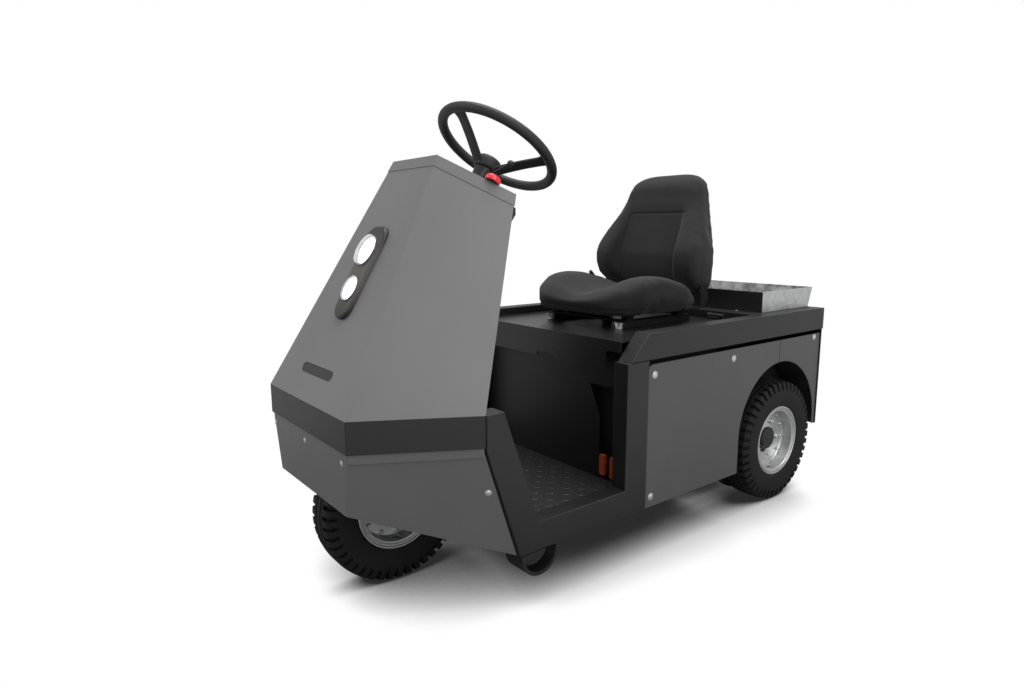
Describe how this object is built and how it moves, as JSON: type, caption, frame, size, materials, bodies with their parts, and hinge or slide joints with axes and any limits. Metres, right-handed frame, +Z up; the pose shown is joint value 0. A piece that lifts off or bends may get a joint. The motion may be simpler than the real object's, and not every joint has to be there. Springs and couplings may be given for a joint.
{
  "type": "three-wheeled electric tow tractor",
  "caption": "Compact seated electric tow tractor with a steered front wheel, faceted nose cowl, step-through footwell, seat on a hinged deck lid, rear tray and tow jaw.",
  "frame": {"origin": "on the ground, midway along the length and on the centre plane", "axes": "+Z up, front of the vehicle towards -Y, the driver's left towards +X"},
  "size_m": [0.762, 1.836, 1.2489],
  "materials": {
    "frame_black": "satin powder coat",
    "panel_grey": "satin powder coat",
    "cowl_grey": "satin powder coat",
    "deck_black": "semi-gloss paint",
    "tread_plate": "raised pattern, painted black",
    "fork_black": "satin paint",
    "zinc": "zinc plated",
    "galvanised": "hot-dip galvanised",
    "tyre": "moulded rubber",
    "wheel_grip": "soft-touch black",
    "black_plastic": "moulded black",
    "lens": "clear",
    "red_plastic": "gloss",
    "red_lens": "gloss",
    "orange_tread": "polyurethane",
    "battery_case": "matt",
    "seat_fabric": "woven charcoal cover",
    "seat_steel": "black"
  },
  "bodies": {
    "chassis": {"side_frame_left": "frame_black", "side_frame_right": "frame_black", "skid_hoops": "frame_black", "load_frame": "frame_black", "cowl": "cowl_grey", "cowl_cap": "cowl_grey", "nose_band": "frame_black", "front_skirt": "panel_grey", "dash_panel": "deck_black", "steering_column": "black_plastic", "headlamp_pod": "black_plastic", "headlamp_lenses": "lens", "nose_slot": "black_plastic", "direction_lever": "black_plastic", "emergency_stop": "red_plastic", "wheel_box": "deck_black", "steering_head": "fork_black", "floor_plate": "tread_plate", "bulkhead": "deck_black", "guide_pads": "orange_tread", "battery_tray": "frame_black", "battery_block": "battery_case", "rear_deck": "deck_black", "side_panels": "panel_grey", "rear_quarters": "panel_grey", "rear_panel": "frame_black", "wheel_arches": "deck_black", "rear_subframe": "frame_black", "rear_axle": "fork_black", "drive_motor": "fork_black", "cargo_tray": "galvanised", "tray_front_panel": "deck_black", "tow_hitch": "frame_black", "rear_lamps": "red_lens", "pedals": "black_plastic"},
    "deck_lid": {"deck_lid": "deck_black", "seat_rails": "zinc"},
    "seat": {"seat_frame": "seat_steel", "seat_cushion": "seat_fabric", "recline_lever": "black_plastic"},
    "backrest": {"seat_backrest": "seat_fabric", "backrest_brackets": "seat_steel"},
    "steering_wheel": {"steering_wheel": "wheel_grip"},
    "front_fork": {"front_fork": "fork_black"},
    "front_wheel": {"front_tyre": "tyre", "front_rim": "zinc"},
    "rear_wheel_left": {"rear_tyre_left": "tyre", "rear_rim_left": "zinc", "hub_cap_left": "black_plastic"},
    "rear_wheel_right": {"rear_tyre_right": "tyre", "rear_rim_right": "zinc", "hub_cap_right": "black_plastic"},
    "tow_pin": {"tow_pin": "zinc"}
  },
  "joints": [
    {"name": "steering_wheel_turn", "type": "hinge", "parent": "chassis", "child": "steering_wheel", "pos_m": [0, -0.331, 1.139], "axis": [0, 0.5678, 0.8231], "range_deg": [-540, 540]},
    {"name": "fork_steer", "type": "hinge", "parent": "chassis", "child": "front_fork", "pos_m": [0, -0.6925, 0.205], "axis": [0, 0, 1], "range_deg": [-75, 75]},
    {"name": "front_wheel_spin", "type": "hinge", "parent": "front_fork", "child": "front_wheel", "pos_m": [0, -0.6925, 0.205], "axis": [1, 0, 0], "continuous": true},
    {"name": "rear_wheel_left_spin", "type": "hinge", "parent": "chassis", "child": "rear_wheel_left", "pos_m": [0.322, 0.582, 0.205], "axis": [1, 0, 0], "continuous": true},
    {"name": "rear_wheel_right_spin", "type": "hinge", "parent": "chassis", "child": "rear_wheel_right", "pos_m": [-0.322, 0.582, 0.205], "axis": [1, 0, 0], "continuous": true},
    {"name": "deck_lid_open", "type": "hinge", "parent": "chassis", "child": "deck_lid", "pos_m": [0, 0.434, 0.629], "axis": [-1, 0, 0], "range_deg": [0, 45]},
    {"name": "seat_slide", "type": "slide", "parent": "deck_lid", "child": "seat", "axis": [0, -1, 0], "range_m": [-0.06, 0.09]},
    {"name": "backrest_recline", "type": "hinge", "parent": "seat", "child": "backrest", "pos_m": [0, 0.344, 0.7], "axis": [1, 0, 0], "range_deg": [-20, 10]},
    {"name": "tow_pin_lift", "type": "slide", "parent": "chassis", "child": "tow_pin", "axis": [0, 0, 1], "range_m": [0, 0.15]}
  ],
  "couplings": [
    {"joint": "fork_steer", "follows": "steering_wheel_turn", "ratio": 0.1388}
  ]
}
